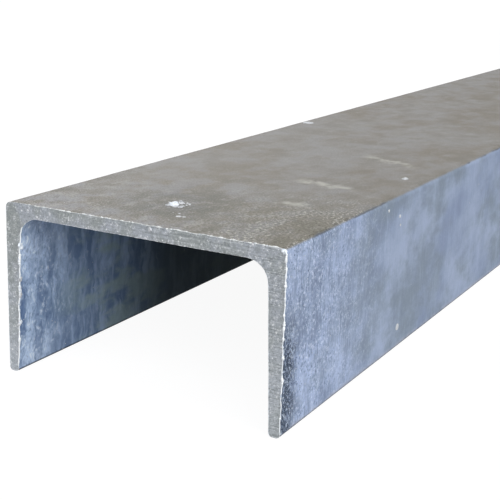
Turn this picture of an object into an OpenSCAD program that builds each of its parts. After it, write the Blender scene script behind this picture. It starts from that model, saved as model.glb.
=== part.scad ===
// Hot-rolled steel channel, sawn to length and hot-dip galvanised.
// It lies web up on its two flange toes, with its length along X.
// The origin is at the middle of the length and of the web, on the plane of the toes.

/* [Length] */
// Length between the two sawn ends
channel_length = 1000; // [300:50:6000]

/* [Section] */
// Depth of the section, over the outer faces of the two flanges
web_depth = 100; // [70:1:160]
// Width of a flange, from its toe to the outer face of the web
flange_width = 57; // [35:1:90]
// Thickness of the web
web_thickness = 4.4; // [3:0.1:8]
// Thickness that the flange's taper reaches at the outer face of the web
flange_root = 5.9; // [4.4:0.1:9]
// Thickness of the flange at its toe, before its corners are rounded
flange_toe = 3.6; // [2.6:0.1:4.4]

/* [Rolled corners] */
// Radius of the outer corners, between the web and the flanges
outer_radius = 2; // [0.5:0.1:3]
// Radius of the fillets inside, between the web and the flanges
root_radius = 7.2; // [3:0.1:10]
// Radius of the corners of each toe
toe_radius = 1.2; // [0.4:0.1:1.2]

/* [Hidden] */
$fn = 96;
zinc_grey = [0.62, 0.64, 0.66];
half_depth = web_depth / 2;
web_under = flange_width - web_thickness;
// How far a corner's kite reaches past its two edges, so that it cuts or joins cleanly
kite_overlap = 1.08;

// Thickness of the tapered flange at a height above its toe
function flange_at(height) = flange_toe + (flange_root - flange_toe) * height / flange_width;

function unit(v) = v / norm(v);

// The kite between a corner and a circle of radius r that touches both of the corner's edges,
// less that circle. Directions a and b run from the corner along its two edges.
module corner_patch(corner, a, b, r) {
    bisector = unit(unit(a) + unit(b));
    half_angle = acos(unit(a) * bisector);
    centre = corner + bisector * r / sin(half_angle);
    reach = r / tan(half_angle);
    kite = [centre, corner + unit(a) * reach, corner, corner + unit(b) * reach];
    difference() {
        polygon([for (point = kite) centre + (point - centre) * kite_overlap]);
        translate(centre) circle(r);
    }
}

// The section as it would be with sharp corners
module sharp_section() {
    inner_top = half_depth - flange_at(web_under);
    inner_toe = half_depth - flange_toe;
    polygon([
        [-half_depth, 0], [-half_depth, flange_width],
        [half_depth, flange_width], [half_depth, 0],
        [inner_toe, 0], [inner_top, web_under],
        [-inner_top, web_under], [-inner_toe, 0],
    ]);
}

// The three corners that the rolls round off on one side: outer corner, outer toe and inner toe
module rounded_off() {
    taper = [flange_toe - flange_root, flange_width];
    corner_patch([half_depth, flange_width], [-1, 0], [0, -1], outer_radius);
    corner_patch([half_depth, 0], [-1, 0], [0, 1], toe_radius);
    corner_patch([half_depth - flange_toe, 0], [1, 0], taper, toe_radius);
}

// The fillet that the rolls leave inside one side
module root_fillet() {
    taper = [flange_root - flange_toe, -flange_width];
    corner_patch([half_depth - flange_at(web_under), web_under], [-1, 0], taper, root_radius);
}

module rolled_section() {
    difference() {
        sharp_section();
        rounded_off();
        mirror([1, 0]) rounded_off();
    }
    root_fillet();
    mirror([1, 0]) root_fillet();
}

module channel() {
    color(zinc_grey)
        translate([-channel_length / 2, 0, 0])
            rotate([90, 0, 90])
                linear_extrude(height = channel_length) rolled_section();
}

channel();
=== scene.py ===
import math
import random

import bpy
from mathutils import Matrix, Vector


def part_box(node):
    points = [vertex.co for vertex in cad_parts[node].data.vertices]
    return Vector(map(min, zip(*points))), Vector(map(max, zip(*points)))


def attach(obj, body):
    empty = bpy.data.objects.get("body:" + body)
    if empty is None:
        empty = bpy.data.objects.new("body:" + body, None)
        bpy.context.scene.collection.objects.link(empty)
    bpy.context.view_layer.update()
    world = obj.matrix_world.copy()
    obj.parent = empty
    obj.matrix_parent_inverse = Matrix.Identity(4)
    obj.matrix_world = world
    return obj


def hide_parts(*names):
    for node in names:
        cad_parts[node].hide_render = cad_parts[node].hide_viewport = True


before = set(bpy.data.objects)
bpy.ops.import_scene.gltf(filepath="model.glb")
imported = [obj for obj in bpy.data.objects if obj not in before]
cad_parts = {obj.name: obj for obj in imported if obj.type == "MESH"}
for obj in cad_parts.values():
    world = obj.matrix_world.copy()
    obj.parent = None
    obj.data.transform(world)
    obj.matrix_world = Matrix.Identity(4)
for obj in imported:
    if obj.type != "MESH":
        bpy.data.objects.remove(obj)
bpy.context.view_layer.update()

# The channel is one bar of hot-rolled steel: a flat web between two flanges that taper to
# rounded toes. It is sawn square to length, then dipped in molten zinc, which freezes in
# shallow waves and weathers to a dull coat; its warmer web and bluer flanges are painted reflections.
lowest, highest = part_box("channel")
half_length = (highest[0] - lowest[0]) / 2
half_depth = (highest[1] - lowest[1]) / 2
flange_width = highest[2] - lowest[2]
web_thickness = 0.0044
flange_root = 0.0059
flange_toe = 0.0036
outer_radius = 0.002
root_radius = 0.0072
toe_radius = 0.0012
web_under = flange_width - web_thickness
flange_lean = math.atan2(flange_root - flange_toe, flange_width)


class Wire:
    """An output socket of a node. Arithmetic on wires adds the Math nodes that work it out."""

    def __init__(self, socket):
        self.socket = socket

    @classmethod
    def node(cls, tree, kind, settings=None, sockets=None, output=0):
        """The wire out of a new node, whose settings are set before its sockets."""
        node = tree.nodes.new(kind)
        for name, value in (settings or {}).items():
            setattr(node, name, value)
        for name, value in (sockets or {}).items():
            if isinstance(value, Wire):
                tree.links.new(value.socket, node.inputs[name])
            else:
                node.inputs[name].default_value = value
        return cls(node.outputs[output]) if node.outputs else None

    def output(self, name):
        """Another output of the same node."""
        return Wire(self.socket.node.outputs[name])

    def then(self, kind, settings=None, sockets=None, output=0):
        """The wire out of a new node in the same tree, whose first socket this wire feeds."""
        return Wire.node(self.socket.id_data, kind, settings, {0: self, **(sockets or {})}, output)

    def maths(self, operation, *terms):
        settings = {"operation": operation}
        return Wire.node(self.socket.id_data, "ShaderNodeMath", settings, dict(enumerate(terms)))

    def __add__(self, other):
        return self.maths("ADD", self, other)

    __radd__ = __add__

    def __sub__(self, other):
        return self.maths("SUBTRACT", self, other)

    def __rsub__(self, other):
        return self.maths("SUBTRACT", other, self)

    def __mul__(self, other):
        return self.maths("MULTIPLY", self, other)

    __rmul__ = __mul__

    def __truediv__(self, other):
        return self.maths("DIVIDE", self, other)

    def __rtruediv__(self, other):
        return self.maths("DIVIDE", other, self)

    def __abs__(self):
        return self.maths("ABSOLUTE", self)

    def rise(self, low, high):
        """0 below low and 1 above high, with a smooth climb between them."""
        settings = {"interpolation_type": "SMOOTHSTEP"}
        return self.then("ShaderNodeMapRange", settings, {"From Min": low, "From Max": high})

    def fall(self, low, high):
        """1 below low and 0 above high."""
        return 1 - self.rise(low, high)


def arc(centre, radius, start, end, steps=10):
    """Points of a rolled corner, from one angle to another, in degrees."""
    angles = [math.radians(start + (end - start) * step / steps) for step in range(steps + 1)]
    return [(centre[0] + radius * math.cos(a), centre[1] + radius * math.sin(a)) for a in angles]


def inner_face(height):
    """How far a flange's inner face is from the middle of the web, at a height above its toe."""
    return half_depth - flange_toe - math.tan(flange_lean) * height


def section_outline(spacing):
    """The section's outline as (across, up), anticlockwise, its flats divided to the spacing."""
    lean = math.degrees(flange_lean)
    slant = 1 / math.cos(flange_lean)
    root_up = web_under - root_radius
    root = (inner_face(root_up) - root_radius * slant, root_up)
    inner_toe = (inner_face(toe_radius) + toe_radius * slant, toe_radius)
    outer_toe = (half_depth - toe_radius, toe_radius)
    corner = (half_depth - outer_radius, flange_width - outer_radius)
    side = arc(root, root_radius, 90, lean)
    side += arc(inner_toe, toe_radius, 180 + lean, 270)
    side += arc(outer_toe, toe_radius, 270, 360)
    side += arc(corner, outer_radius, 0, 90)
    corners = side + [(-across, up) for across, up in reversed(side)]
    outline = []
    for here, there in zip(corners, corners[1:] + corners[:1]):
        pieces = max(1, round(math.dist(here, there) / spacing))
        for piece in range(pieces):
            share = piece / pieces
            outline.append(tuple(a + (b - a) * share for a, b in zip(here, there)))
    return outline


def loop_mesh(name, loops):
    """A mesh of closed loops of edges, which a Geometry Nodes tree starts from."""
    points, edges = [], []
    for loop in loops:
        first = len(points)
        points += loop
        edges += [(first + here, first + (here + 1) % len(loop)) for here in range(len(loop))]
    mesh = bpy.data.meshes.new(name)
    mesh.from_pydata(points, edges, [])
    return mesh


def node_recipe(name, sizes):
    """A new Geometry Nodes tree, the wire of its start mesh and the wires of its named sizes."""
    tree = bpy.data.node_groups.new(name, "GeometryNodeTree")
    tree.interface.new_socket("Start", in_out="INPUT", socket_type="NodeSocketGeometry")
    tree.interface.new_socket("Finished", in_out="OUTPUT", socket_type="NodeSocketGeometry")
    for size, value in sizes.items():
        kind = "NodeSocketInt" if isinstance(value, int) else "NodeSocketFloat"
        tree.interface.new_socket(size, in_out="INPUT", socket_type=kind)
    start = Wire.node(tree, "NodeGroupInput")
    return tree, start, {size: start.output(size) for size in sizes}


def finish_recipe(shape, materials):
    """Ends a tree: instances are realised, then each material is set where its wire says."""
    shape = shape.then("GeometryNodeRealizeInstances")
    for material, where in materials:
        sockets = {"Material": material}
        if where:
            sockets["Selection"] = where
        shape = shape.then("GeometryNodeSetMaterial", sockets=sockets)
    shape.then("NodeGroupOutput")


def make_piece(name, start_mesh, tree, sizes):
    """The piece that a tree makes from its start mesh and its sizes, as a plain mesh."""
    maker = bpy.data.objects.new(name + "_maker", start_mesh)
    bpy.context.collection.objects.link(maker)
    modifier = maker.modifiers.new("recipe", "NODES")
    modifier.node_group = tree
    for socket in tree.interface.items_tree:
        if socket.in_out == "INPUT" and socket.name in sizes:
            modifier[socket.identifier] = sizes[socket.name]
    graph = bpy.context.evaluated_depsgraph_get()
    mesh = bpy.data.meshes.new_from_object(maker.evaluated_get(graph))
    bpy.data.objects.remove(maker)
    piece = bpy.data.objects.new(name, mesh)
    bpy.context.collection.objects.link(piece)
    return piece


def colour(red, green, blue):
    """A colour from a paint card, 0 to 255, as the linear light that shaders use."""
    linear = [((part / 255 + 0.055) / 1.055) ** 2.4 for part in (red, green, blue)]
    return (*linear, 1)


def mixed(first, second, share):
    """A colour between two, of which either may be a wire, by a share from 0 to 1."""
    tree = share.socket.id_data
    return Wire.node(tree, "ShaderNodeMix", {"data_type": "RGBA"}, {0: share, 6: first, 7: second}, 2)


def grain(at, across, detail=4.0, rough=0.55, seed=0.0):
    """Noise whose lumps measure across = (x, y, z) in metres, from 0 to 1."""
    tree = at.socket.id_data
    scale = tuple(1 / size for size in across)
    sockets = {"Location": (seed, seed, seed), "Scale": scale}
    place = Wire.node(tree, "ShaderNodeMapping", None, {"Vector": at, **sockets})
    sockets = {"Scale": 1.0, "Detail": detail, "Roughness": rough}
    return Wire.node(tree, "ShaderNodeTexNoise", None, {"Vector": place, **sockets})


def wavy(at, length, reach):
    """A place moved about by up to half a reach, so that what is drawn there bends."""
    tree = at.socket.id_data
    sockets = {"Vector": at, "Scale": 1 / length, "Detail": 3.0}
    moved = Wire.node(tree, "ShaderNodeTexNoise", None, sockets, "Color")
    moved = moved.then("ShaderNodeVectorMath", {"operation": "SUBTRACT"}, {1: (0.5, 0.5, 0.5)})
    moved = moved.then("ShaderNodeVectorMath", {"operation": "SCALE"}, {"Scale": reach})
    return at.then("ShaderNodeVectorMath", {"operation": "ADD"}, {1: moved})


def new_finish(name, metallic, specular):
    """A material with its shader, ready for wires: its tree, its shader and its place in space."""
    material = bpy.data.materials.new(name)
    material.use_nodes = True
    tree = material.node_tree
    shader = tree.nodes["Principled BSDF"]
    shader.inputs["Metallic"].default_value = metallic
    shader.inputs["Specular IOR Level"].default_value = specular
    at = Wire.node(tree, "ShaderNodeTexCoord", output="Object")
    return material, tree, shader, at


def feed(shader, **wires):
    """Links wires to the sockets of a shader, whose names are given with underscores."""
    for name, wire in wires.items():
        shader.id_data.links.new(wire.socket, shader.inputs[name.replace("_", " ")])


def relief(height, depth, strength=1.0):
    """The surface turned by a wire that gives its height, from 0 to 1 of a depth in metres."""
    sockets = {"Height": height, "Distance": depth, "Strength": strength}
    return Wire.node(height.socket.id_data, "ShaderNodeBump", None, sockets)


def streak(x, y, start, end, width):
    """1 along a line on the web between two points (x, y), which fades aside and at its ends."""
    length = math.dist(start, end)
    heading = ((end[0] - start[0]) / length, (end[1] - start[1]) / length)
    along = (x - start[0]) * heading[0] + (y - start[1]) * heading[1]
    aside = (y - start[1]) * heading[0] - (x - start[0]) * heading[1]
    whole = along.rise(0.0, length * 0.3) * along.fall(length * 0.7, length)
    return abs(aside).fall(0.0, width) * whole


dross_stain = (-half_length + 0.0285, 0.0025, flange_width)
drain_marks = [
    ((-half_length + 0.0863, -0.0080), (-half_length + 0.0824, -0.0361)),
    ((-half_length + 0.0505, -0.0212), (-half_length + 0.0518, -0.0326)),
    ((-half_length + 0.1481, -0.0077), (-half_length + 0.1337, -0.0396)),
]


def weathered_zinc():
    """Zinc coat outside: cloudy, streaked where it drained, and speckled towards the ends, with painted
    reflections, shade and highlights.
    """
    material, tree, shader, at = new_finish("weathered_zinc", metallic=0.1, specular=0.15)
    x = Wire.node(tree, "ShaderNodeSeparateXYZ", None, {"Vector": at})
    y, z = x.output("Y"), x.output("Z")
    from_end = half_length - abs(x)
    by_end = from_end.fall(0.0, 0.09)
    handled = 0.3 + by_end * 0.7
    wander = grain(at, (0.003, 0.003, 0.003), seed=3.0) * 0.0004
    on_web = (z + wander).rise(flange_width - 0.0007, flange_width)

    clouds = grain(at, (0.045, 0.03, 0.03), detail=4.0, seed=11.0)
    patches = grain(at, (0.016, 0.013, 0.014), detail=6.0, rough=0.6, seed=5.0)
    mottle = grain(at, (0.006, 0.005, 0.006), detail=5.0, rough=0.65, seed=9.0)
    sand = grain(at, (0.001, 0.001, 0.001), detail=3.0, rough=0.65, seed=7.0)
    fine = grain(at, (0.0006, 0.0006, 0.0006), detail=3.0, rough=0.7, seed=2.0)

    # Painted reflection: the web's warm cast stands for warm surroundings; its clouds, stains, grit and
    # drain marks are the coat's own.
    web = mixed(colour(142, 140, 137), colour(132, 127, 119), clouds.rise(0.4, 0.64))
    web = mixed(web, colour(155, 157, 164), patches.rise(0.46, 0.6) * handled * 0.85)
    web = mixed(web, colour(108, 106, 99), patches.fall(0.36, 0.5) * handled * 0.85)
    web = mixed(web, colour(108, 107, 101), mottle.fall(0.34, 0.48) * handled * 0.8)
    web = mixed(web, colour(172, 171, 170), mottle.rise(0.53, 0.66) * handled * 0.7)
    from_stain = at.then("ShaderNodeVectorMath", {"operation": "DISTANCE"}, {1: dross_stain}, "Value")
    stained = from_stain.fall(0.004, 0.03) * mottle.fall(0.4, 0.75)
    web = mixed(web, colour(98, 99, 94), stained * 0.85)
    gritty = 0.3 + by_end * 0.55
    web = mixed(web, colour(104, 100, 92), fine.fall(0.34, 0.5) * gritty)
    web = mixed(web, colour(184, 182, 176), fine.rise(0.53, 0.68) * gritty)
    sandy = from_end.fall(0.035, 0.085) * y.fall(-0.045, 0.004) * mottle.rise(0.3, 0.5)
    web = mixed(web, colour(116, 112, 97), sandy * 0.45)
    web = mixed(web, colour(84, 82, 72), (sandy * 0.6 + by_end * 0.2) * sand.fall(0.36, 0.48))
    gathered = sandy * patches.rise(0.4, 0.58) + by_end * mottle.rise(0.4, 0.6) * 0.3
    web = mixed(web, colour(212, 210, 200), gathered * sand.rise(0.54, 0.64) * 0.8)
    # Painted shade: the web darkens along its far rolled corner, which turns away from the light.
    far_corner_shade = y.rise(half_depth - outer_radius * 1.2, half_depth - outer_radius * 0.7)
    web = mixed(web, colour(88, 87, 83), far_corner_shade * 0.8)
    drained = wavy(at, length=0.008, reach=0.012).then("ShaderNodeSeparateXYZ")
    for start, end in drain_marks:
        mark = streak(drained, drained.output("Y"), start, end, width=0.0046)
        web = mixed(web, colour(186, 185, 178), mark * mottle.rise(0.34, 0.6) * 0.9)

    strokes = grain(at, (0.0008, 0.01, 0.009), detail=4.0, rough=0.6, seed=31.0)
    crystals = grain(at, (0.0008, 0.0008, 0.0009), detail=3.0, rough=0.7, seed=33.0)
    swept = grain(at, (0.024, 0.03, 0.015), detail=5.0, rough=0.6, seed=35.0)
    # Painted reflection: the flanges' blue cast stands for the sky; their streaks, runs and crystals are
    # the coat's own.
    flange = mixed(colour(163, 177, 202), colour(178, 196, 230), by_end)
    flange = mixed(flange, colour(126, 141, 170), clouds.rise(0.38, 0.66) * 0.7)
    flange = mixed(flange, colour(130, 143, 157), swept.rise(0.38, 0.66) * (0.9 - by_end * 0.45))
    flange = mixed(flange, colour(112, 126, 152), mottle.fall(0.34, 0.5) * handled * 0.55)
    flange = mixed(flange, colour(182, 196, 226), strokes.rise(0.48, 0.68) * (0.1 + by_end * 0.5))
    flange = mixed(flange, colour(108, 122, 150), strokes.fall(0.34, 0.5) * (0.1 + by_end * 0.5))
    bent = wavy(at, length=0.02, reach=0.008)
    runs = grain(bent, (0.007, 0.04, 0.03), detail=3.0, rough=0.5, seed=39.0)
    flange = mixed(flange, colour(186, 202, 232), runs.rise(0.5, 0.68) * (0.14 + by_end * 0.3))
    flange = mixed(flange, colour(112, 126, 152), runs.fall(0.32, 0.5) * (0.14 + by_end * 0.3))
    speckled = 0.05 + by_end * mottle.rise(0.34, 0.56) * 0.9
    flange = mixed(flange, colour(216, 226, 246), crystals.rise(0.54, 0.65) * speckled)
    flange = mixed(flange, colour(100, 114, 142), crystals.fall(0.34, 0.46) * speckled)
    # Painted highlight: a pale line, in patches, along the rounded edge above each toe.
    toe_highlight = z.fall(0.0006, 0.0026) * mottle.rise(0.36, 0.56)
    flange = mixed(flange, colour(180, 184, 198), toe_highlight * 0.7)
    # Painted shade: a dark line along the bottom of each toe, where it meets the floor.
    flange = mixed(flange, colour(54, 54, 60), z.fall(toe_radius * 0.5, toe_radius * 1.1) * 0.85)
    end_band = (from_end + mottle * 0.006).fall(0.008, 0.014) * z.fall(0.024, 0.046)
    flange = mixed(flange, colour(58, 70, 88), end_band * mottle.fall(0.5, 0.74) * fine.fall(0.5, 0.66))
    flange = mixed(flange, colour(186, 198, 216), end_band * crystals.rise(0.54, 0.62))

    # A dark line along the rolled corners, in patches: partly chipped zinc, partly painted shade where the
    # corner turns.
    arris = on_web * (1 - on_web) * 4
    chips_and_corner_shade = grain(at, (0.02, 0.02, 0.02), detail=4.0, seed=37.0).rise(0.5, 0.58)
    base = mixed(mixed(flange, web, on_web), colour(92, 97, 106), arris * chips_and_corner_shade * 0.8)
    roughness = 0.55 + mottle * 0.2
    height = mottle * 0.3 + crystals * handled * 0.6 + fine * 0.2
    feed(shader, Base_Color=base, Roughness=roughness, Normal=relief(height, 0.00025))
    return material


def dull_zinc():
    """Zinc coat in the hollow: hammered by its mouths, then in soft runs; painted lighter than the coat
    outside and lightest by the mouths, then fading to painted shade far inside.
    """
    material, tree, shader, at = new_finish("dull_zinc", metallic=0.0, specular=0.1)
    x = Wire.node(tree, "ShaderNodeSeparateXYZ", None, {"Vector": at})
    z = x.output("Z")
    from_end = half_length - abs(x)
    by_mouth = from_end.fall(0.002, 0.034)
    mouth_light_off_middle = abs(z - web_under * 0.42).rise(0.004, 0.02)
    deep_shade = from_end.rise(0.046, 0.095)
    place = wavy(at, length=0.008, reach=0.006)
    runs = grain(place, (0.0045, 0.03, 0.02), detail=4.0, rough=0.55, seed=41.0)
    strokes = grain(place, (0.0011, 0.003, 0.0021), detail=4.0, rough=0.65, seed=43.0)
    blotches = grain(place, (0.004, 0.005, 0.0055), detail=5.0, rough=0.65, seed=46.0)
    haze = grain(at, (0.025, 0.03, 0.011), detail=4.0, seed=45.0)
    # Painted light: the hollow's colours are lighter than the coat outside, to make up for light that does
    # not reach in.
    base = mixed(colour(176, 199, 230), colour(114, 138, 174), runs.rise(0.36, 0.6))
    hazy = haze.rise(0.46, 0.62) * from_end.rise(0.012, 0.04)
    base = mixed(base, colour(168, 190, 192), hazy * 0.75)
    # Painted light by the mouths, away from the middle height.
    base = mixed(base, colour(206, 225, 252), by_mouth * mouth_light_off_middle * 0.48)
    base = mixed(base, colour(104, 125, 164), blotches.fall(0.36, 0.52) * (0.12 + by_mouth * 0.28))
    base = mixed(base, colour(196, 214, 240), blotches.rise(0.5, 0.64) * (0.15 + by_mouth * 0.35))
    clumped = blotches.rise(0.42, 0.58)
    base = mixed(base, colour(66, 86, 124), strokes.fall(0.36, 0.5) * (0.08 + by_mouth * 0.38))
    base = mixed(base, colour(236, 246, 255), strokes.rise(0.52, 0.64) * clumped * (0.1 + by_mouth * 0.75))
    # Painted shade: the coat turns dark far inside the hollow.
    base = mixed(base, colour(74, 86, 88), deep_shade * 0.85)
    # Painted shade: a dark line along the bottom of each toe, where it meets the floor.
    base = mixed(base, colour(40, 42, 46), z.fall(toe_radius * 0.5, toe_radius * 1.1) * 0.85)
    height = blotches * 0.4 + strokes * by_mouth * 0.35
    feed(shader, Base_Color=base, Roughness=0.6 + runs * 0.2, Normal=relief(height, 0.0004))
    return material


def sawn_zinc():
    """Zinc on the sawn ends: thin and neutral grey, over the fine level marks of the saw."""
    material, tree, shader, at = new_finish("sawn_zinc", metallic=0.1, specular=0.25)
    y = Wire.node(tree, "ShaderNodeSeparateXYZ", None, {"Vector": at}, "Y")
    down_flange = y.output("Z").fall(0.0, web_under)
    sawn = 0.2 + y.fall(-0.02, 0.03) * 0.6
    saw_marks = grain(at, (0.01, 0.012, 0.0005), detail=3.0, rough=0.7, seed=51.0)
    speckle = grain(at, (0.0006, 0.0006, 0.0006), detail=3.0, rough=0.75, seed=52.0)
    crumbs = grain(at, (0.002, 0.002, 0.002), detail=4.0, rough=0.7, seed=54.0)
    patches = grain(at, (0.008, 0.008, 0.008), detail=4.0, seed=53.0)
    base = mixed(colour(159, 165, 166), colour(174, 180, 190), patches.rise(0.4, 0.62))
    base = mixed(base, colour(192, 199, 207), down_flange * 0.6)
    base = mixed(base, colour(134, 140, 142), saw_marks.fall(0.36, 0.5) * sawn)
    base = mixed(base, colour(202, 206, 211), saw_marks.rise(0.52, 0.66) * sawn)
    base = mixed(base, colour(148, 154, 157), crumbs.fall(0.34, 0.48) * 0.6)
    base = mixed(base, colour(204, 208, 214), crumbs.rise(0.52, 0.64) * 0.5)
    base = mixed(base, colour(246, 248, 250), speckle.rise(0.56, 0.64) * crumbs.rise(0.4, 0.6))
    base = mixed(base, colour(120, 125, 128), speckle.fall(0.35, 0.46) * 0.65)
    height = saw_marks * sawn * 0.4 + speckle * 0.3 + crumbs * 0.4
    feed(shader, Base_Color=base, Roughness=0.5 + patches * 0.1, Normal=relief(height, 0.0002))
    return material


def noise(place, length, detail=3.0):
    """Noise in a Geometry Nodes tree, from about -0.5 to 0.5, whose lumps are a length apart."""
    sockets = {"Vector": place, "Scale": 1 / length, "Detail": detail}
    return Wire.node(place.socket.id_data, "ShaderNodeTexNoise", None, sockets) - 0.5


def coated_channel(sizes):
    """The outline swept along the bar, with its stations close together near both ends."""
    tree, section, size = node_recipe("coated_channel", sizes)
    section = section.then("GeometryNodeMeshToCurve")
    spine = Wire.node(tree, "GeometryNodeCurvePrimitiveLine", None, {"End": (0, 0, 1)})
    spine = spine.then("GeometryNodeResampleCurve", None, {"Count": size["Stations"]})
    along = Wire.node(tree, "GeometryNodeSplineParameter") * 2 - 1
    bunched = along.maths("SINE", along * (math.pi / 2))
    station = along * size["Evenness"] + bunched * (1 - size["Evenness"])
    place = Wire.node(tree, "ShaderNodeCombineXYZ", None, {"Z": station * size["Length"] / 2})
    spine = spine.then("GeometryNodeSetPosition", None, {"Position": place})
    coat = spine.then("GeometryNodeCurveToMesh", None, {"Profile Curve": section, "Fill Caps": True})
    coat = coat.then("GeometryNodeTransform", None, {"Rotation": (math.pi / 2, 0, math.pi / 2)})

    place = Wire.node(tree, "GeometryNodeInputPosition")
    normal = Wire.node(tree, "GeometryNodeInputNormal")
    x = place.then("ShaderNodeSeparateXYZ")
    y, z = x.output("Y"), x.output("Z")
    facing = normal.then("ShaderNodeSeparateXYZ")
    wave = noise(place, size["Wave length"]) * size["Wave height"]
    nicked = (half_length - abs(x)).fall(0.0, size["Nick reach"])
    nick = noise(place, size["Nick length"]) * nicked * size["Nick depth"]
    level = normal.then("ShaderNodeVectorMath", {"operation": "MULTIPLY"}, {1: (0, 1, 1)})
    lift = (wave + nick) * z.rise(0.0, toe_radius)
    offset = level.then("ShaderNodeVectorMath", {"operation": "SCALE"}, {"Scale": lift})
    coat = coat.then("GeometryNodeSetPosition", None, {"Offset": offset})
    coat = coat.then("GeometryNodeSetShadeSmooth")
    crease = Wire.node(tree, "GeometryNodeInputMeshEdgeAngle")
    crease = crease.maths("GREATER_THAN", crease, math.radians(40))
    sharp = {"Selection": crease, "Shade Smooth": False}
    coat = coat.then("GeometryNodeSetShadeSmooth", {"domain": "EDGE"}, sharp)
    in_depth = y.maths("LESS_THAN", abs(y), half_depth - flange_toe / 2)
    hollow = in_depth * z.maths("LESS_THAN", z, web_under + web_thickness / 2)
    on_end = facing.maths("GREATER_THAN", abs(facing), 0.9)
    finish_recipe(coat, [(weathered_zinc(), None), (dull_zinc(), hollow), (sawn_zinc(), on_end)])
    return tree


coat_sizes = {
    "Length": 2 * half_length,
    "Stations": 280,
    "Evenness": 0.16,
    "Wave height": 0.0002,
    "Wave length": 0.03,
    "Nick reach": 0.003,
    "Nick length": 0.004,
    "Nick depth": 0.0005,
}
outline = [(across, up, 0) for across, up in section_outline(0.0022)]
section = loop_mesh("section", [outline])
channel = make_piece("coated_channel", section, coated_channel(coat_sizes), coat_sizes)
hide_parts("channel")
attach(channel, "root")

# When the bar is drawn out of the bath, zinc hangs on the edges of both sawn ends and
# freezes there as bright, ragged beads, thick where the bar drained and thin elsewhere.
fine_bead = 0.00008
web_bead = 0.00026
outer_bead = 0.0004
inner_bead = 0.00048


def bead_thickness(across, up):
    """Radius of the bead at a point of the outline, as seen from outside that end."""
    if up > flange_width - outer_radius / 2:
        return web_bead if across < half_depth * 0.85 else fine_bead
    if across < -half_depth + outer_radius / 2 and up > toe_radius:
        return outer_bead
    if 0 < across < half_depth - flange_toe / 2 and toe_radius < up < web_under - root_radius / 2:
        return inner_bead
    return fine_bead


def thick_zinc(name, clean, dull, warm_reflection=0.0):
    """Thick zinc, brighter than the coat round it and dulled in spots, with a painted warm reflection
    along the web.
    """
    material, tree, shader, at = new_finish(name, metallic=0.1, specular=0.4)
    dulled = grain(at, (0.0012, 0.0012, 0.0012), detail=3.0, rough=0.6, seed=61.0)
    base = mixed(clean, dull, dulled.rise(0.54, 0.68))
    z = Wire.node(tree, "ShaderNodeSeparateXYZ", None, {"Vector": at}, "Z")
    # Painted reflection: the zinc turns warmer towards the web, as the web's coat does.
    base = mixed(base, colour(236, 233, 220), z.rise(web_under, flange_width) * warm_reflection)
    feed(shader, Base_Color=base, Roughness=0.3 + dulled * 0.3)
    return material


bead_finish = thick_zinc("bead_zinc", colour(246, 251, 255), colour(190, 202, 218), warm_reflection=0.2)


def zinc_beads(sizes):
    """A lumpy rope of zinc along each edge, with drops on it, both scaled by its thickness."""
    tree, edges, size = node_recipe("end_beads", sizes)
    path = edges.then("GeometryNodeMeshToCurve")
    path = path.then("GeometryNodeResampleCurve", {"mode": "LENGTH"}, {"Length": size["Step"]})
    thickness = Wire.node(tree, "GeometryNodeInputNamedAttribute", None, {"Name": "thickness"})
    place = Wire.node(tree, "GeometryNodeInputPosition")
    ragged = {"Vector": place, "Scale": 1 / size["Ragged spacing"], "Detail": 2.0}
    shift = Wire.node(tree, "ShaderNodeTexNoise", None, ragged, "Color")
    shift = shift.then("ShaderNodeVectorMath", {"operation": "SUBTRACT"}, {1: (0.5, 0.5, 0.5)})
    reach = {"Scale": thickness * size["Raggedness"]}
    shift = shift.then("ShaderNodeVectorMath", {"operation": "SCALE"}, reach)
    path = path.then("GeometryNodeSetPosition", None, {"Offset": shift})
    lumps = noise(place, thickness * size["Lump spacing"]).rise(-0.07, 0.15)
    ring = Wire.node(tree, "GeometryNodeCurvePrimitiveCircle", None, {"Resolution": 6, "Radius": 1.0})
    girth = thickness * lumps.maths("MAXIMUM", lumps * 1.1, thickness / size["Whole from"])
    rope = path.then("GeometryNodeCurveToMesh", None, {"Profile Curve": ring, "Scale": girth})
    drop = Wire.node(tree, "GeometryNodeMeshIcoSphere", None, {"Radius": 1.0, "Subdivisions": 2})
    chance = {"Probability": 0.03 + lumps * 0.18, "Seed": size["Seed"]}
    chosen = Wire.node(tree, "FunctionNodeRandomValue", {"data_type": "BOOLEAN"}, chance, 3)
    spread = {2: 0.4, 3: 1.25, "Seed": size["Seed"] + 1}
    drop_size = Wire.node(tree, "FunctionNodeRandomValue", None, spread, 1)
    sockets = {"Selection": chosen, "Instance": drop, "Scale": thickness * drop_size}
    drops = path.then("GeometryNodeInstanceOnPoints", None, sockets)
    beads = rope.then("GeometryNodeJoinGeometry")
    tree.links.new(drops.socket, beads.socket.node.inputs[0])
    finish_recipe(beads.then("GeometryNodeSetShadeSmooth"), [(bead_finish, None)])
    return tree


bead_sizes = {
    "Step": 0.0004,
    "Lump spacing": 4.6,
    "Ragged spacing": 0.0034,
    "Raggedness": 2.4,
    "Whole from": 0.0009,
    "Seed": 4,
}
least_height = 3 * fine_bead
edge_outline = [(across, max(up, least_height)) for across, up in section_outline(0.001)]
near_edge = [(-half_length, across, up) for across, up in edge_outline]
far_edge = [(half_length, -across, up) for across, up in edge_outline]
sawn_edges = loop_mesh("sawn_edges", [near_edge, far_edge])
thickness = sawn_edges.attributes.new("thickness", "FLOAT", "POINT")
girths = [bead_thickness(across, up) for across, up in edge_outline]
thickness.data.foreach_set("value", girths * 2)
beads = make_piece("end_beads", sawn_edges, zinc_beads(bead_sizes), bead_sizes)
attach(beads, "root")

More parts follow.
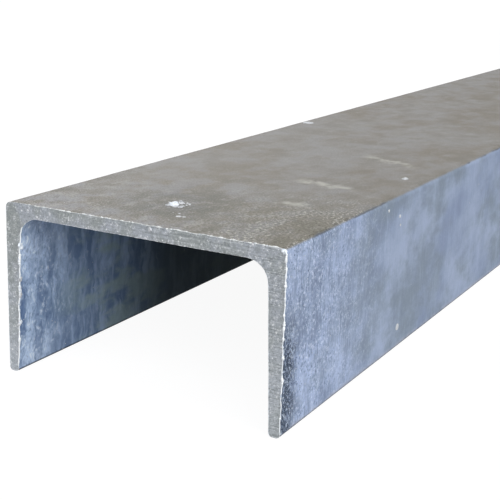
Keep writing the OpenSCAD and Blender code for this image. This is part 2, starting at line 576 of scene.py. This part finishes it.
# Dross from the bath freezes on the faces as lumps: one large cluster on the web by the
# near end, a few single lumps, and fine pimples that thin out away from both ends.
random.seed(8)
web_face = (0, 0, 1)
side_face = (0, -1, 0)
cluster = dross_stain
spot = (cluster[0] - 0.0019, cluster[1] + 0.0015, cluster[2])
lumps = [(spot, web_face, 0.0015, 0.0011)]
for shard in range(26):
    bearing = random.uniform(0, 2 * math.pi)
    reach = random.uniform(0.0005, 0.005)
    place = (cluster[0] + reach * math.cos(bearing), cluster[1] + reach * math.sin(bearing), cluster[2])
    width = random.uniform(0.0003, 0.0009)
    lumps.append((place, web_face, width, width * random.uniform(0.3, 0.6)))
lumps += [
    ((-half_length + 0.0145, -0.0055, flange_width), web_face, 0.0009, 0.0002),
    ((-half_length + 0.0150, -0.0072, flange_width), web_face, 0.0006, 0.0001),
    ((-half_length + 0.0180, -0.0035, flange_width), web_face, 0.0005, 0.0001),
    ((-half_length + 0.1116, -0.0413, flange_width), web_face, 0.0013, 0.0004),
    ((-half_length + 0.2085, 0.0450, flange_width), web_face, 0.0026, 0.0004),
    ((-half_length + 0.0751, -half_depth, 0.0533), side_face, 0.0005, 0.0002),
    ((-half_length + 0.0857, -half_depth, 0.0495), side_face, 0.0006, 0.0003),
    ((-half_length + 0.0868, -half_depth, 0.0462), side_face, 0.0005, 0.0002),
    ((-half_length + 0.0903, -half_depth, 0.0080), side_face, 0.0014, 0.00012),
    ((-half_length, -0.0047, 0.0557), (-1, 0, 0), 0.0007, 0.0003),
    ((-half_length + 0.0006, half_depth, 0.0448), (0, 1, 0), 0.0006, 0.0004),
    ((-half_length, -half_depth + 0.0009, flange_width - 0.0008), (-1, 0, 0), 0.0009, 0.0005),
]
for height in (0.0425, 0.0322, 0.0263, 0.0169):
    for drop in range(4):
        girth = random.uniform(0.0004, 0.0009)
        along = random.uniform(0.0, 0.0008)
        up = height + random.uniform(-0.0008, 0.0008)
        lumps.append(((-half_length + along, inner_face(up), up), side_face, girth, girth * 0.6))


def dross_lumps(sizes):
    """A dented lump on each point, turned to its face and scaled by its girth and its height."""
    tree, points, size = node_recipe("dross_lumps", sizes)
    points = points.then("GeometryNodeMeshToPoints")
    girth = Wire.node(tree, "GeometryNodeInputNamedAttribute", None, {"Name": "girth"})
    height = Wire.node(tree, "GeometryNodeInputNamedAttribute", None, {"Name": "height"})
    vector = {"data_type": "FLOAT_VECTOR"}
    facing = Wire.node(tree, "GeometryNodeInputNamedAttribute", vector, {"Name": "facing"})
    upright = {"Vector": facing}
    turned = Wire.node(tree, "FunctionNodeAlignRotationToVector", {"axis": "Z"}, upright)
    flat = {"X": girth, "Y": girth, "Z": height}
    scale = Wire.node(tree, "ShaderNodeCombineXYZ", None, flat)
    ball = Wire.node(tree, "GeometryNodeMeshIcoSphere", None, {"Radius": 1.0, "Subdivisions": 4})
    sockets = {"Instance": ball, "Rotation": turned, "Scale": scale}
    lumps = points.then("GeometryNodeInstanceOnPoints", None, sockets)
    lumps = lumps.then("GeometryNodeRealizeInstances")
    place = Wire.node(tree, "GeometryNodeInputPosition")
    normal = Wire.node(tree, "GeometryNodeInputNormal")
    dent = {"Scale": noise(place, size["Dent spacing"]) * height * 2}
    offset = normal.then("ShaderNodeVectorMath", {"operation": "SCALE"}, dent)
    lumps = lumps.then("GeometryNodeSetPosition", None, {"Offset": offset})
    tall = height.maths("GREATER_THAN", height, size["Bright over"])
    lumps = lumps.then("GeometryNodeSetShadeSmooth")
    finish_recipe(lumps, [(dross_finish, None), (clean_finish, tall)])
    return tree


clean_finish = thick_zinc("clean_zinc", colour(240, 247, 255), colour(214, 226, 242))
dross_finish = thick_zinc("dross_zinc", colour(204, 207, 212), colour(136, 141, 147))
lump_sizes = {"Dent spacing": 0.0011, "Bright over": 0.00045}
lump_points = bpy.data.meshes.new("lump_points")
lump_points.from_pydata([place for place, face, girth, height in lumps], [], [])
facing = lump_points.attributes.new("facing", "FLOAT_VECTOR", "POINT")
facing.data.foreach_set("vector", [part for place, face, girth, height in lumps for part in face])
girth = lump_points.attributes.new("girth", "FLOAT", "POINT")
girth.data.foreach_set("value", [girth for place, face, girth, height in lumps])
height = lump_points.attributes.new("height", "FLOAT", "POINT")
height.data.foreach_set("value", [height for place, face, girth, height in lumps])
dross = make_piece("dross_lumps", lump_points, dross_lumps(lump_sizes), lump_sizes)
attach(dross, "root")


def zinc_pimples(sizes):
    """Flat pimples scattered over the coat, close together by the ends and few between them."""
    tree, coat, size = node_recipe("zinc_pimples", sizes)
    place = Wire.node(tree, "GeometryNodeInputPosition")
    x = place.then("ShaderNodeSeparateXYZ")
    z = x.output("Z")
    by_end = (half_length - abs(x)).fall(0.0, size["Reach"])
    on_web = z.rise(web_under, flange_width)
    crowding = (by_end + size["Between"]) * (1 - on_web * 0.6) * z.rise(0.0, 0.001)
    scattered = {"Density": size["Density"] * crowding, "Seed": size["Seed"]}
    points = coat.then("GeometryNodeDistributePointsOnFaces", None, scattered)
    spread = {2: 0.0001, 3: size["Girth"], "Seed": size["Seed"]}
    girth = Wire.node(tree, "FunctionNodeRandomValue", None, spread, 1)
    flat = {"X": girth, "Y": girth, "Z": girth * 0.5}
    scale = Wire.node(tree, "ShaderNodeCombineXYZ", None, flat)
    ball = Wire.node(tree, "GeometryNodeMeshIcoSphere", None, {"Radius": 1.0, "Subdivisions": 1})
    sockets = {"Instance": ball, "Rotation": points.output("Rotation"), "Scale": scale}
    pimples = points.then("GeometryNodeInstanceOnPoints", None, sockets)
    finish_recipe(pimples.then("GeometryNodeSetShadeSmooth"), [(dross_finish, None)])
    return tree


pimple_sizes = {"Density": 16000.0, "Reach": 0.07, "Between": 0.02, "Girth": 0.00022, "Seed": 12}
pimples = make_piece("zinc_pimples", channel.data, zinc_pimples(pimple_sizes), pimple_sizes)
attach(pimples, "root")

# The stage: a pale floor under a white sky, three soft lamps, and a camera that looks at
# the near end from a little above the web.
scene = bpy.context.scene
scene.view_settings.view_transform = "Standard"


def seen_directly(tree):
    """1 for the rays that show a surface to the camera, straight or by gloss or glass."""
    rays = Wire.node(tree, "ShaderNodeLightPath")
    return rays + rays.output("Is Glossy Ray") + rays.output("Is Transmission Ray")


def studio_floor():
    """Pale floor that keeps a soft shadow by the bar and turns white away from it."""
    material, tree, shader, at = new_finish("studio_floor", metallic=0.0, specular=0.0)
    seen = seen_directly(tree)
    grey = mixed((0.3, 0.3, 0.3, 1), (0.85, 0.85, 0.85, 1), seen)
    matt = Wire.node(tree, "ShaderNodeBsdfDiffuse", None, {"Color": grey})
    glow = Wire.node(tree, "ShaderNodeEmission", None, {"Strength": 1.1})
    away = at.then("ShaderNodeVectorMath", {"operation": "LENGTH"}, output="Value")
    share = seen * (0.85 + away.rise(2 * half_length, 8 * half_length) * 0.15)
    both = Wire.node(tree, "ShaderNodeMixShader", None, {0: share, 1: matt, 2: glow})
    tree.links.new(both.socket, tree.nodes["Material Output"].inputs["Surface"])
    return material


bpy.ops.mesh.primitive_plane_add(size=30)
floor = bpy.context.object
floor.name = "studio_floor"
floor.data.materials.append(studio_floor())

sky_light = 0.25
world = bpy.data.worlds.new("white_sky")
scene.world = world
world.use_nodes = True
background = world.node_tree.nodes["Background"]
background.inputs["Color"].default_value = (1, 1, 1, 1)
strength = sky_light + seen_directly(world.node_tree) * (1 - sky_light)
world.node_tree.links.new(strength.socket, background.inputs["Strength"])


def soft_lamp(name, bearing, height, level, distance=4.0, width=3.4):
    """A square lamp round the bar: bearing 0 is in front of the near end and 90 to its right.
    Its level is how brightly it lights a face that is turned to it."""
    bearing, height = math.radians(bearing), math.radians(height)
    flat = distance * math.cos(height)
    place = Vector((-flat * math.cos(bearing), -flat * math.sin(bearing), distance * math.sin(height)))
    data = bpy.data.lights.new(name, "AREA")
    data.size = width
    data.energy = level * (math.pi * distance) ** 2
    lamp = bpy.data.objects.new(name, data)
    bpy.context.collection.objects.link(lamp)
    lamp.location = place
    lamp.rotation_euler = place.to_track_quat("Z", "Y").to_euler()


soft_lamp("side_lamp", bearing=62, height=20, level=0.8)
soft_lamp("front_lamp", bearing=5, height=35, level=0.38)
soft_lamp("back_lamp", bearing=235, height=22, level=0.5)

view_heading, view_dip, view_roll = (math.radians(angle) for angle in (28.36, 15.33, 1.83))
camera_data = bpy.data.cameras.new("camera")
camera_data.lens = 80.3
camera_data.clip_start = 0.01
camera = bpy.data.objects.new("camera", camera_data)
bpy.context.collection.objects.link(camera)
turned = Matrix.Rotation(view_heading - math.pi / 2, 3, "Z")
dipped = Matrix.Rotation(math.pi / 2 - view_dip, 3, "X")
camera.rotation_euler = (turned @ dipped @ Matrix.Rotation(view_roll, 3, "Z")).to_euler()
camera.location = (-0.7657, -0.1818, 0.1377)
scene.camera = camera
